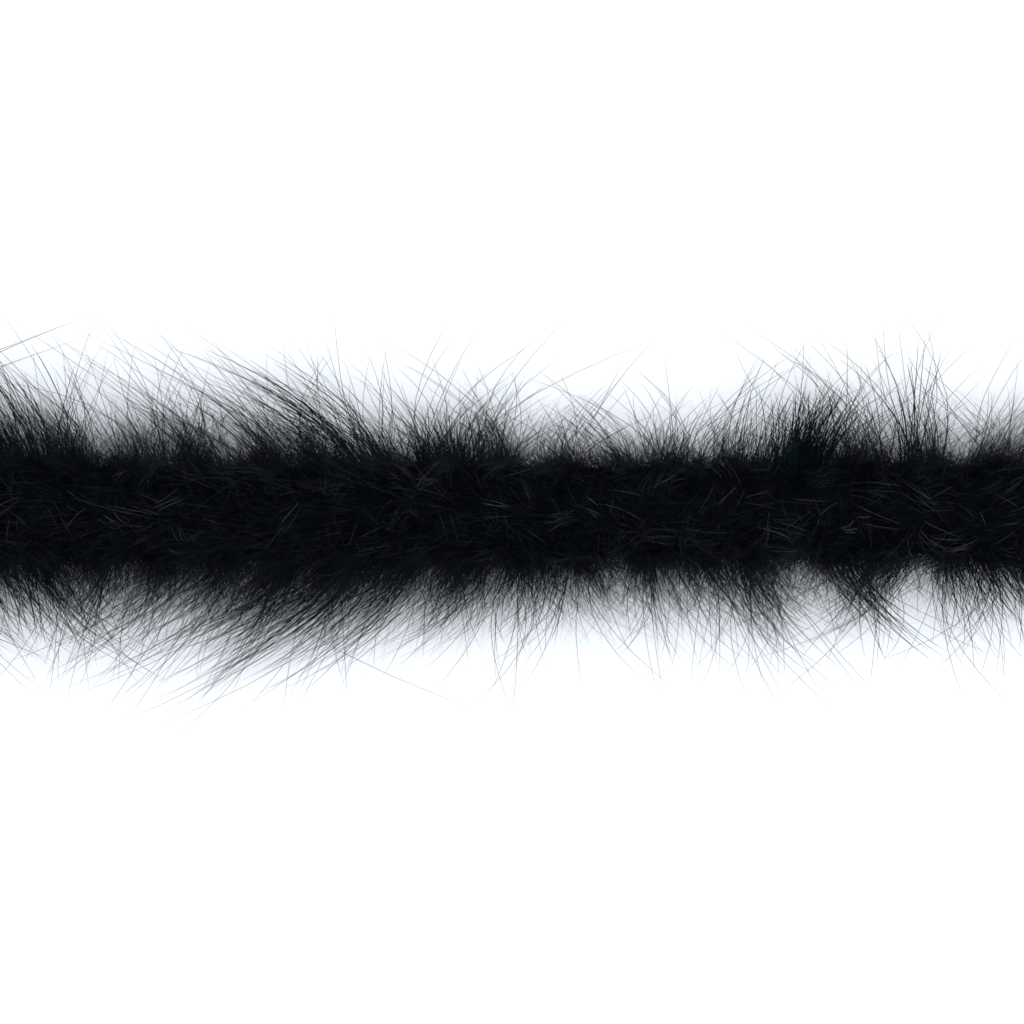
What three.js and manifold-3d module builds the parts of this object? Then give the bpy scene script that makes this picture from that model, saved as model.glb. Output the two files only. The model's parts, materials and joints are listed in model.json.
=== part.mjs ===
// A marabou feather boa: bundles of turkey down bound round a twisted cotton cord, with a whipped and
// knotted tail of bare cord at each end. It lies on a table in three parallel runs joined by two
// half-round turns, like a flat letter S. The cord bends at twelve upright hinges, six in each turn.
// Millimetres, +Z up. The origin is on the table, under the middle of the boa's length.
import * as THREE from "three";
import { mergeVertices } from "three/addons/utils/BufferGeometryUtils.js";
import Module from "manifold-3d";

const wasm = await Module();
wasm.setup();

// ---------------------------------------------------------------- driving dimensions

const FEATHERED_LENGTH = 1830; // feathers from end to end, along the cord: two yards
const MIDDLE_RUN = 380; // the straight stretch between the two turns
const RUN_SPACING = 210; // from the middle run's cord to each outer run's cord
const HINGES_PER_TURN = 6; // they share the half turn equally

const CORD_DIAMETER = 3;
const CORD_HEIGHT = 30; // of the cord's axis over the table, with the down underneath squashed
const BINDING_WALL = 1.8; // quill butts lying along the cord, and the thread wound over them
const BUNDLE_RADIUS = 40; // how far the ruff of down stands out from the cord's axis
const BUNDLE_ROOT_RADIUS = 8.5; // where the blades of down part from each other
const BLADES = 8; // blades of down round the cord
const BLADE_TIP_ANGLE = THREE.MathUtils.degToRad(2.6); // the width of a blade's tip, seen from the axis
const MAT_WIDTH = 30; // the flat underside, where the boa's weight presses the down together
const MAT_THICKNESS = 1.6;
const MIDDLE_BUNDLES = 6;
const OUTER_BUNDLES = 6;

const WHIPPING_LENGTH = 8;
const WHIPPING_WALL = 1.3;
const KNOT_RADIUS = 4.6;
const KNOT_LENGTH = 9;
const KNOT_STUB = 5; // the cord's cut end, sticking out past the knot

const CLEARANCE = 0.3; // between any two pieces that touch on the real boa
const HINGE_GAP = 1.2; // between two links of the chain, on the hinge's axis

// ---------------------------------------------------------------- sizes that follow

const HALF_TURN = Math.PI;
const HINGE_ANGLE = HALF_TURN / HINGES_PER_TURN;
const TURN_LINKS = HINGES_PER_TURN - 1;
const CORD_RADIUS = CORD_DIAMETER / 2;
const BINDING_BORE = CORD_RADIUS + CLEARANCE;
const BINDING_RADIUS = BINDING_BORE + BINDING_WALL;
const BUNDLE_BORE = BINDING_RADIUS + CLEARANCE;

// The turn's links are chords of equal length, and their sideways steps add up to the run spacing.
let sidewaysSteps = 0;
for (let link = 1; link <= TURN_LINKS; link += 1) {
  sidewaysSteps += Math.sin(link * HINGE_ANGLE);
}
const TURN_LINK = RUN_SPACING / sidewaysSteps;
const OUTER_RUN = (FEATHERED_LENGTH - MIDDLE_RUN) / 2 - TURN_LINKS * TURN_LINK;

// The tail's route from the last feathers: x on along the cord, y to the side, and how much of the way
// down to the table it has come, where 1 is the knot lying on it.
const TAIL_POINTS = [
  [0, 0, 0],
  [6, 0, 0],
  [11, 0.2, 0.02],
  [16, 0.8, 0.12],
  [20, 1.8, 0.3],
  [23.5, 3, 0.51],
  [27, 4.4, 0.73],
  [31, 6, 0.89],
  [36, 7.6, 0.98],
  [41, 8.8, 1],
];
const TAIL_DROP = CORD_HEIGHT - KNOT_RADIUS;

const CORD_SIDES = 8;
const ROUND_SIDES = 8;
const KNOT_SIDES = 14;
const TWIST_STEPS = 3;
const TAIL_STEPS = 12;

// ---------------------------------------------------------------- materials

const down = new THREE.MeshStandardMaterial({ color: 0x0b0c10, roughness: 0.85, flatShading: true });
const cotton = new THREE.MeshStandardMaterial({ color: 0x17171a, roughness: 0.9, flatShading: true });
const thread = new THREE.MeshStandardMaterial({ color: 0x1c1c20, roughness: 0.6, flatShading: true });

// ---------------------------------------------------------------- joining and cutting solids

// A closed three.js geometry as a solid that can be joined and cut.
function solidOf(geometry) {
  const bare = geometry.clone();
  bare.deleteAttribute("normal");
  bare.deleteAttribute("uv");
  const merged = mergeVertices(bare);
  return new wasm.Manifold(
    new wasm.Mesh({
      numProp: 3,
      vertProperties: merged.attributes.position.array,
      triVerts: Uint32Array.from(merged.index.array),
    }),
  );
}

// A solid back as a three.js geometry.
function geometryOf(solid) {
  const { numVert, numProp, vertProperties, triVerts } = solid.getMesh();
  const places = new Float32Array(numVert * 3);
  for (let i = 0; i < numVert; i += 1) {
    places.set(vertProperties.subarray(i * numProp, i * numProp + 3), i * 3);
  }
  const geometry = new THREE.BufferGeometry();
  geometry.setAttribute("position", new THREE.BufferAttribute(places, 3));
  geometry.setIndex(new THREE.BufferAttribute(triVerts, 1));
  geometry.computeVertexNormals();
  return geometry;
}

// ---------------------------------------------------------------- shapes along the cord

// A closed section in the plane across the cord, drawn out along +X from one x to another.
function alongCord(section, from, to, steps = 1) {
  const geometry = new THREE.ExtrudeGeometry(section, {
    depth: to - from,
    steps,
    bevelEnabled: false,
    curveSegments: ROUND_SIDES,
  });
  geometry.rotateX(Math.PI / 2);
  geometry.rotateZ(Math.PI / 2);
  geometry.translate(from, 0, CORD_HEIGHT);
  return geometry;
}

function circlePath(radius, sides, Path = THREE.Path) {
  const corners = [];
  for (let side = 0; side < sides; side += 1) {
    const angle = (side / sides) * 2 * Math.PI;
    corners.push(new THREE.Vector2(radius * Math.cos(angle), radius * Math.sin(angle)));
  }
  return new Path(corners);
}

// A round tube's section, or a round bar's where it has no bore.
function roundSection(radius, bore, sides) {
  const section = circlePath(radius, sides, THREE.Shape);
  if (bore > 0) {
    section.holes.push(circlePath(bore, sides));
  }
  return section;
}

// The ruff of down across the cord: blades that narrow outwards.
function ruffSection() {
  const pitch = (2 * Math.PI) / BLADES;
  const corners = [];
  for (let blade = 0; blade < BLADES; blade += 1) {
    const middle = blade * pitch;
    for (const [radius, angle] of [
      [BUNDLE_ROOT_RADIUS, middle - pitch / 2],
      [BUNDLE_RADIUS, middle - BLADE_TIP_ANGLE / 2],
      [BUNDLE_RADIUS, middle + BLADE_TIP_ANGLE / 2],
    ]) {
      corners.push(new THREE.Vector2(radius * Math.cos(angle), radius * Math.sin(angle)));
    }
  }
  return new THREE.Shape(corners);
}

// Turns a geometry's slices about the cord's axis, more the further along they lie.
function twist(geometry, from, to, angle) {
  const places = geometry.attributes.position;
  for (let i = 0; i < places.count; i += 1) {
    const turned = new THREE.Vector2(places.getY(i), places.getZ(i) - CORD_HEIGHT).rotateAround(
      new THREE.Vector2(),
      (angle * (places.getX(i) - from)) / (to - from),
    );
    places.setY(i, turned.x);
    places.setZ(i, turned.y + CORD_HEIGHT);
  }
  return geometry;
}

// One bundle of plumes. The ruff winds round the cord by one blade along it, so that the blades of
// neighbouring bundles meet, and its underside is pressed flat on the table.
function bundleSolid(from, to) {
  const onePitch = (2 * Math.PI) / BLADES;
  const ruff = solidOf(twist(alongCord(ruffSection(), from, to, TWIST_STEPS), from, to, onePitch));
  const mat = new THREE.BoxGeometry(to - from, MAT_WIDTH, MAT_THICKNESS);
  mat.translate((from + to) / 2, 0, MAT_THICKNESS / 2);
  const bore = alongCord(roundSection(BUNDLE_BORE, 0, ROUND_SIDES), from - CLEARANCE, to + CLEARANCE);
  return ruff.add(solidOf(mat)).subtract(solidOf(bore));
}

// ---------------------------------------------------------------- links of the chain

// The room that a link's pieces may fill, from the table up. An end that meets a hinge slopes back from
// the cord to both sides by half the hinge's angle. So two links close up on each other on the inside of
// a full bend, whichever way it goes, and open a wedge on the outside, as the down of a bent boa does.
function linkRoom(start, end) {
  const reach = BUNDLE_RADIUS + CLEARANCE;
  const slope = reach * Math.tan(HINGE_ANGLE / 2);
  const endCorners = ({ x, hinged }, into) => {
    if (!hinged) {
      return [
        [x, -reach],
        [x, reach],
      ];
    }
    const edge = x + (into * HINGE_GAP) / 2;
    return [
      [edge + into * slope, -reach],
      [edge, 0],
      [edge + into * slope, reach],
    ];
  };
  const corners = [...endCorners(start, 1).reverse(), ...endCorners(end, -1)];
  const plan = new THREE.Shape(corners.map(([x, y]) => new THREE.Vector2(x, y)));
  const room = new THREE.ExtrudeGeometry(plan, {
    depth: CORD_HEIGHT + reach,
    bevelEnabled: false,
  });
  return solidOf(room);
}

function addMesh(group, name, geometry, material) {
  const mesh = new THREE.Mesh(geometry, material);
  mesh.name = name;
  group.add(mesh);
}

// One rigid link, from start to end along its own +X: a stretch of cord, the binding on it and the
// bundles of down round that.
function makeLink(start, end, bundles, cordName, bindingName, bundleName) {
  const link = new THREE.Group();
  const room = linkRoom(start, end);
  const add = (name, solid, material) => {
    addMesh(link, name, geometryOf(solid.intersect(room)), material);
  };
  const cord = alongCord(roundSection(CORD_RADIUS, 0, CORD_SIDES), start.x, end.x);
  add(cordName, solidOf(cord), cotton);
  const binding = alongCord(roundSection(BINDING_RADIUS, BINDING_BORE, ROUND_SIDES), start.x, end.x);
  add(bindingName, solidOf(binding), thread);
  const pitch = (end.x - start.x) / bundles;
  for (let i = 0; i < bundles; i += 1) {
    const from = start.x + i * pitch + CLEARANCE / 2;
    const to = from + pitch - CLEARANCE;
    add(bundleName(i), bundleSolid(from, to), down);
  }
  return link;
}

// ---------------------------------------------------------------- the ends

// The whipping, the bare tail and its knot, from the last feathers on along +X.
function makeEnd(side) {
  const end = new THREE.Group();
  const whipping = roundSection(BINDING_BORE + WHIPPING_WALL, BINDING_BORE, ROUND_SIDES);
  addMesh(
    end,
    `end_whipping_${side}`,
    alongCord(whipping, CLEARANCE, CLEARANCE + WHIPPING_LENGTH),
    thread,
  );

  const route = new THREE.CatmullRomCurve3(
    TAIL_POINTS.map(([x, y, fall]) => new THREE.Vector3(x + CLEARANCE, y, CORD_HEIGHT - fall * TAIL_DROP)),
    false,
    "centripetal",
  );
  const tail = new THREE.ExtrudeGeometry(roundSection(CORD_RADIUS, 0, CORD_SIDES), {
    steps: TAIL_STEPS,
    extrudePath: route,
  });
  addMesh(end, `tail_cord_${side}`, tail, cotton);

  const along = route.getTangentAt(1);
  const knot = new THREE.Mesh(knotGeometry(), cotton);
  knot.name = `tail_knot_${side}`;
  knot.position.copy(route.getPointAt(1)).addScaledVector(along, CLEARANCE);
  knot.position.z = KNOT_RADIUS;
  knot.rotation.z = Math.atan2(along.y, along.x);
  end.add(knot);
  return end;
}

// A barrel-shaped overhand knot along +X, with the cut end of the cord past it.
function knotGeometry() {
  const profile = [
    [0, 0],
    [0.5 * KNOT_RADIUS, 0],
    [0.9 * KNOT_RADIUS, 0.2 * KNOT_LENGTH],
    [KNOT_RADIUS, 0.5 * KNOT_LENGTH],
    [0.9 * KNOT_RADIUS, 0.8 * KNOT_LENGTH],
    [CORD_RADIUS, KNOT_LENGTH],
    [CORD_RADIUS, KNOT_LENGTH + KNOT_STUB],
    [0, KNOT_LENGTH + KNOT_STUB],
  ];
  const points = profile.map(([radius, along]) => new THREE.Vector2(radius, along));
  return new THREE.LatheGeometry(points, KNOT_SIDES).rotateZ(-Math.PI / 2);
}

// ---------------------------------------------------------------- the boa

// One turn and the outer run after it, as a chain of nested links, each hinged on the one before.
function makeArm(side) {
  const arm = new THREE.Group();
  arm.position.x = MIDDLE_RUN / 2;
  arm.rotation.z = HINGE_ANGLE;
  let link = arm;
  for (let i = 1; i <= TURN_LINKS; i += 1) {
    link.add(
      makeLink(
        { x: 0, hinged: true },
        { x: TURN_LINK, hinged: true },
        1,
        `core_cord_${side}_turn_${i}`,
        `binding_${side}_turn_${i}`,
        () => `down_bundle_${side}_turn_${i}`,
      ),
    );
    const next = new THREE.Group();
    next.position.x = TURN_LINK;
    next.rotation.z = HINGE_ANGLE;
    link.add(next);
    link = next;
  }
  link.add(
    makeLink(
      { x: 0, hinged: true },
      { x: OUTER_RUN, hinged: false },
      OUTER_BUNDLES,
      `core_cord_${side}_run`,
      `binding_${side}_run`,
      (i) => `down_bundle_${side}_run_${i + 1}`,
    ),
  );
  const end = makeEnd(side);
  end.position.x = OUTER_RUN;
  link.add(end);
  return arm;
}

const boa = new THREE.Group();
boa.add(
  makeLink(
    { x: -MIDDLE_RUN / 2, hinged: true },
    { x: MIDDLE_RUN / 2, hinged: true },
    MIDDLE_BUNDLES,
    "core_cord_middle",
    "binding_middle",
    (i) => `down_bundle_middle_${i + 1}`,
  ),
);
boa.add(makeArm("right"));
const leftHalf = new THREE.Group();
leftHalf.rotation.z = HALF_TURN;
leftHalf.add(makeArm("left"));
boa.add(leftHalf);

export default boa;
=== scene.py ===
"""The looks of a black marabou feather boa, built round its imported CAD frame.

Metres, in the frame's own axes: +X along the middle run, +Z up, and the table at z = 0. A barb is first
drawn as if the boa lay in one straight line, by its station along the cord, its angle round the cord and
its distance from it. The Lay then bends that line into the letter S that the boa lies in.
"""

import json
import logging
import math
from collections.abc import Mapping, Sequence
from dataclasses import dataclass, field
from enum import Enum
from typing import Any

import bmesh
import bpy
import numpy as np
from mathutils import Matrix, Vector

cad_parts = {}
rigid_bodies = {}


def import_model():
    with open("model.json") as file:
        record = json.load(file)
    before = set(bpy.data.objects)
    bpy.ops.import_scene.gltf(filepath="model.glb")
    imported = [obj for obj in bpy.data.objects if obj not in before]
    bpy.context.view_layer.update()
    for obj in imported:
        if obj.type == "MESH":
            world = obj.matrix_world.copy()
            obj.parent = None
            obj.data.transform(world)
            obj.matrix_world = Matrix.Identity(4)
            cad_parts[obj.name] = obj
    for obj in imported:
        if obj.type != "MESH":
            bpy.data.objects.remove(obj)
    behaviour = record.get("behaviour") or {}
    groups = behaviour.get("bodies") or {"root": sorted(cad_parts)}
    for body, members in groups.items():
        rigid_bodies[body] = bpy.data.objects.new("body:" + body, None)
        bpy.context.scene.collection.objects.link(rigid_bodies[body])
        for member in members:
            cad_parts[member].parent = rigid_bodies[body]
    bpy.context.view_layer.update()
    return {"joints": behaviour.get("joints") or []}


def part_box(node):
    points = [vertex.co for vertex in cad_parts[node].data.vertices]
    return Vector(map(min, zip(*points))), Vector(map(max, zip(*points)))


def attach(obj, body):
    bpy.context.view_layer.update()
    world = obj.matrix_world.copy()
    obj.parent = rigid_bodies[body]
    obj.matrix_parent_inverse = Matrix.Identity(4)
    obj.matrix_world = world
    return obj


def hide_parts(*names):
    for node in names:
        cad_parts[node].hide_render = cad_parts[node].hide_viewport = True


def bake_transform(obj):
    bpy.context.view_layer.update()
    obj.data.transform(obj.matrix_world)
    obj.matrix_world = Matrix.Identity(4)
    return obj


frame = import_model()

Array = np.ndarray
Point = tuple[float, float, float]
Table = tuple[tuple[float, float], ...]

MM = 0.001
# The turn in radians from one thing to the next that spreads them evenly round a circle.
GOLDEN_ANGLE = 2.39996
LOG = logging.getLogger("feather_boa")


class Side(Enum):
    """Which arm of the boa a piece belongs to, and the sign of its stations."""

    RIGHT = 1
    LEFT = -1

    @property
    def label(self) -> str:
        """The arm's name, as the frame's bodies and nodes have it."""
        return self.name.lower()


class BarbKind(Enum):
    """How a barb of down grows."""

    WISP = "a long barb of the fringe"
    FLUFF = "a short fine barb of the underfuzz"
    LYING = "a barb that lies on the body of the down"


# ---------------------------------------------------------------- colours and shader nodes


def linear(colour: str) -> tuple[float, float, float, float]:
    """Turns an sRGB colour into the linear one that a shader takes.

    Args:
        colour: The colour as "#rrggbb".

    Returns:
        Red, green, blue and an alpha of one.
    """
    shares = [int(colour[i : i + 2], 16) / 255 for i in (1, 3, 5)]
    red, green, blue = (c / 12.92 if c <= 0.04045 else ((c + 0.055) / 1.055) ** 2.4 for c in shares)
    return red, green, blue, 1.0


def add_node(
    material: bpy.types.Material | bpy.types.World,
    kind: str,
    settings: Mapping[str, Any] | None = None,
    links: Mapping[str, bpy.types.NodeSocket] | None = None,
    stops: Sequence[tuple[float, str]] = (),
) -> bpy.types.Node:
    """Adds one shader node, set and linked.

    Args:
        material: The material or world whose nodes it joins.
        kind: The node's type, such as "ShaderNodeTexNoise".
        settings: The values of its inputs and properties, by name.
        links: The sockets that feed its inputs, by the input's name.
        stops: For a colour ramp, the places from 0 to 1 and their sRGB colours.

    Returns:
        The new node.
    """
    node = material.node_tree.nodes.new(kind)
    for name, value in (settings or {}).items():
        if name in node.inputs:
            node.inputs[name].default_value = value
        else:
            setattr(node, name, value)
    for name, socket in (links or {}).items():
        material.node_tree.links.new(socket, node.inputs[name])
    for place, (position, colour) in enumerate(stops):
        elements = node.color_ramp.elements
        element = elements[place] if place < 2 else elements.new(position)
        element.position = position
        element.color = linear(colour)
    return node


def new_material(name: str) -> bpy.types.Material:
    """Starts a node material with no nodes in it.

    Args:
        name: The material's name.

    Returns:
        The empty material.
    """
    material = bpy.data.materials.new(name)
    material.use_nodes = True
    material.node_tree.nodes.clear()
    return material


def principled(
    material: bpy.types.Material, settings: Mapping[str, Any], links: Mapping[str, bpy.types.NodeSocket]
) -> None:
    """Adds the surface shader and the output to a material.

    Args:
        material: The material that they finish.
        settings: The values of the shader's inputs that are the same all over.
        links: The sockets that feed its other inputs.
    """
    shader = add_node(material, "ShaderNodeBsdfPrincipled", settings, links)
    add_node(material, "ShaderNodeOutputMaterial", links={"Surface": shader.outputs["BSDF"]})


# ---------------------------------------------------------------- finishes


@dataclass(frozen=True)
class DyedDown:
    """Turkey down dyed black in the vat: fine keratin barbs, a little glossy, whose dye is a touch thinner
    at the tips, where it shows its blue-black tone. Their roots are painted teal and teal patches are laid
    over them at random, both painted light shining through the down, and some barbs are mixed towards a
    pale grey, a painted highlight."""

    name: str = "turkey_down_dyed_black"
    # Teal at the barb roots is painted light: it stands for light shining through the thin down.
    root: str = "#041116"
    middle: str = "#010204"
    tip: str = "#04070b"
    # Pale grey that barbs are mixed towards: a painted highlight.
    pale: str = "#6f707b"
    # Teal added in random patches, of the size below: painted light shining through the down.
    cast: str = "#092024"
    patch: float = 9 * MM
    roughness: float = 0.5
    gloss: float = 0.04

    def material(self) -> bpy.types.Material:
        """Makes the material. It reads how far along its barb a point is, and how much painted highlight
        the barb carries.

        Returns:
            The finished material.
        """
        made = new_material(self.name)
        along = add_node(made, "ShaderNodeAttribute", {"attribute_name": "barb_along"})
        # Each barb's share of the painted highlight.
        shade = add_node(made, "ShaderNodeAttribute", {"attribute_name": "barb_shade"})
        # Along the barb: painted teal light at the root, then near black, then blue-black at the tip.
        depth = add_node(
            made,
            "ShaderNodeValToRGB",
            links={"Fac": along.outputs["Fac"]},
            stops=((0.0, self.root), (1.0, self.tip), (0.4, self.middle)),
        )
        mixed = add_node(
            made,
            "ShaderNodeMix",
            {"data_type": "RGBA", "clamp_factor": True},
        )
        # The painted highlight, paler towards the tip.
        pale = add_node(
            made,
            "ShaderNodeValToRGB",
            links={"Fac": along.outputs["Fac"]},
            stops=((0.0, self.middle), (1.0, self.pale)),
        )
        place = add_node(made, "ShaderNodeTexCoord")
        # Noise that lays the teal patches of painted light.
        patches = add_node(
            made,
            "ShaderNodeTexNoise",
            {"Scale": 1 / self.patch, "Detail": 1.0},
            {"Vector": place.outputs["Object"]},
        )
        cast = add_node(
            made,
            "ShaderNodeValToRGB",
            links={"Fac": patches.outputs["Fac"]},
            stops=((0.52, "#000000"), (0.75, self.cast)),
        )
        tinted = add_node(
            made,
            "ShaderNodeMix",
            {"data_type": "RGBA", "blend_type": "ADD", "factor_mode": "UNIFORM"},
        )
        tinted.inputs[0].default_value = 1.0
        made.node_tree.links.new(depth.outputs["Color"], tinted.inputs[6])
        made.node_tree.links.new(cast.outputs["Color"], tinted.inputs[7])
        made.node_tree.links.new(shade.outputs["Fac"], mixed.inputs[0])
        made.node_tree.links.new(tinted.outputs[2], mixed.inputs[6])
        made.node_tree.links.new(pale.outputs["Color"], mixed.inputs[7])
        principled(
            made,
            {"Roughness": self.roughness, "Specular IOR Level": self.gloss},
            {"Base Color": mixed.outputs[2]},
        )
        return made


@dataclass(frozen=True)
class MattedDown:
    """The innermost down, crushed together so close that no barb can be made out. Nearly no light
    comes back from it."""

    name: str = "inner_down_matted"
    dark: str = "#020304"
    light: str = "#07090d"
    grain: float = 2.0 * MM

    def material(self) -> bpy.types.Material:
        """Makes the material: a mottle a couple of millimetres across.

        Returns:
            The finished material.
        """
        made = new_material(self.name)
        place = add_node(made, "ShaderNodeTexCoord")
        mottle = add_node(
            made,
            "ShaderNodeTexNoise",
            {"Scale": 1 / self.grain, "Detail": 2.0},
            {"Vector": place.outputs["Object"]},
        )
        tone = add_node(
            made,
            "ShaderNodeValToRGB",
            links={"Fac": mottle.outputs["Fac"]},
            stops=((0.3, self.dark), (0.7, self.light)),
        )
        principled(
            made,
            {"Roughness": 0.95, "Specular IOR Level": 0.02},
            {"Base Color": tone.outputs["Color"]},
        )
        return made


@dataclass(frozen=True)
class SpunCotton:
    """Black cotton, spun and dyed: matt, with pale specks where the fibres stand up from the twist."""

    name: str
    dark: str
    light: str
    fibre: float
    roughness: float
    gloss: float

    def material(self) -> bpy.types.Material:
        """Makes the material: a fine mottle the width of a few fibres.

        Returns:
            The finished material.
        """
        made = new_material(self.name)
        place = add_node(made, "ShaderNodeTexCoord")
        fibres = add_node(
            made,
            "ShaderNodeTexNoise",
            {"Scale": 1 / self.fibre, "Detail": 3.0, "Roughness": 0.6},
            {"Vector": place.outputs["Object"]},
        )
        tone = add_node(
            made,
            "ShaderNodeValToRGB",
            links={"Fac": fibres.outputs["Fac"]},
            stops=((0.35, self.dark), (0.75, self.light)),
        )
        principled(
            made,
            {"Roughness": self.roughness, "Specular IOR Level": self.gloss},
            {"Base Color": tone.outputs["Color"]},
        )
        return made


# Twisted three-strand cord, soft and matt.
TWISTED_CORD = SpunCotton("cotton_cord_twisted", "#0a0a0c", "#24242a", 0.35 * MM, 0.9, 0.2)
# Sewing thread drawn through wax, which lays its fibres down and gives it a low shine.
WAXED_THREAD = SpunCotton("cotton_thread_waxed", "#0c0c0f", "#1e1e24", 0.2 * MM, 0.5, 0.45)
# Quill butts: hollow horn, dyed with the down and left a little glossy.
DYED_QUILL = SpunCotton("feather_quill_dyed_black", "#0b0a0a", "#2c2622", 0.8 * MM, 0.35, 0.5)


@dataclass(frozen=True)
class PaleCard:
    """The smooth white card that the boa lies on."""

    name: str = "white_card_smooth"
    colour: str = "#f3f6fa"

    def material(self) -> bpy.types.Material:
        """Makes the material, the same all over.

        Returns:
            The finished material.
        """
        made = new_material(self.name)
        principled(
            made, {"Base Color": linear(self.colour), "Roughness": 0.9, "Specular IOR Level": 0.1}, {}
        )
        return made


# ---------------------------------------------------------------- the line that the cord follows


@dataclass(frozen=True)
class Lay:
    """The boa's lay on the table: a middle run and, at each of its ends, a half-round turn and an outer
    run back beside it. A station is the distance along the cord from the middle, negative on the left."""

    turn_start: float
    radius: float
    height: float
    hinge_angle: float

    @classmethod
    def from_joints(cls, joints: Sequence[Mapping[str, Any]]) -> "Lay":
        """Reads the lay from the frame's hinges.

        Args:
            joints: The frame's joints. The right arm's hinges come in order from the middle run.

        Returns:
            The lay whose turns touch the middle of every link between those hinges.
        """
        arm = [j["pos_m"] for j in joints if j["name"].startswith("right_bend_")]
        hinge_angle = math.pi / len(arm)
        radius = (arm[-1][1] - arm[0][1]) / 2
        return cls(arm[0][0] - radius * math.tan(hinge_angle / 2), radius, arm[0][2], hinge_angle)

    @property
    def hinge_span(self) -> float:
        """The length of cord that bends at one hinge."""
        return self.radius * self.hinge_angle

    @property
    def turn_end(self) -> float:
        """The station where a turn gives way to its outer run."""
        return self.turn_start + self.radius * math.pi

    def place(self, station: Array, side: Array, up: Array) -> Array:
        """Bends points of the straight boa into its lay.

        Args:
            station: The distance along the cord from the middle.
            side: The distance from the cord's axis towards +Y on the middle run.
            up: The height over the cord's axis.

        Returns:
            The points in the frame, with a last axis of three.
        """
        sign = np.where(station < 0, -1.0, 1.0)
        length = np.abs(station)
        inward = side * sign
        angle = np.clip((length - self.turn_start) / self.radius, 0, math.pi)
        straight = length - self.turn_start - angle * self.radius
        x = self.turn_start + (self.radius - inward) * np.sin(angle) + straight * np.cos(angle)
        y = self.radius - (self.radius - inward) * np.cos(angle)
        return np.stack([sign * x, sign * y, up + self.height], axis=-1)

    def point(self, station: float, side: float = 0.0, up: float = 0.0) -> Vector:
        """One point of the straight boa, bent into its lay."""
        return Vector(self.place(np.array(station), np.array(side), np.array(up)))


@dataclass(frozen=True)
class Span:
    """A stretch of the boa that moves as one piece, or bends at one hinge."""

    label: str
    start: float
    end: float
    bodies: tuple[str, ...]
    stands_for: str = ""

    def attach(self, piece: bpy.types.Object) -> None:
        """Makes a piece move with the span's body; a piece of a span between two bodies is only fixed in
        place.

        Args:
            piece: The finished piece, in place.
        """
        if len(self.bodies) == 1:
            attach(piece, self.bodies[0])
        else:
            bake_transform(piece)


def spans_of(lay: Lay, run_end: float, joints: Sequence[Mapping[str, Any]]) -> list[Span]:
    """Divides the boa into its rigid runs and its hinges.

    Args:
        lay: The boa's lay.
        run_end: The station where the right arm's feathers end.
        joints: The frame's joints, each arm's in order from the middle run.

    Returns:
        The middle run, then each arm's hinges and outer run.
    """
    spans = [Span("middle", -lay.turn_start, lay.turn_start, ("middle_run",), "middle")]
    for side in Side:
        arm = [j for j in joints if j["name"].startswith(side.label)]
        for i, joint in enumerate(arm):
            ends = [side.value * (lay.turn_start + (i + k) * lay.hinge_span) for k in (0, 1)]
            link = f"{side.label}_turn_{i + 1}" if i + 1 < len(arm) else ""
            spans.append(
                Span(f"{side.label}_bend_{i + 1}", *ends, (joint["parent"], joint["child"]), link)
            )
        ends = [side.value * lay.turn_end, side.value * run_end]
        spans.append(Span(f"{side.label}_run", *ends, (arm[-1]["child"],), f"{side.label}_run"))
    return spans


# ---------------------------------------------------------------- meshes drawn along lines


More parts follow.
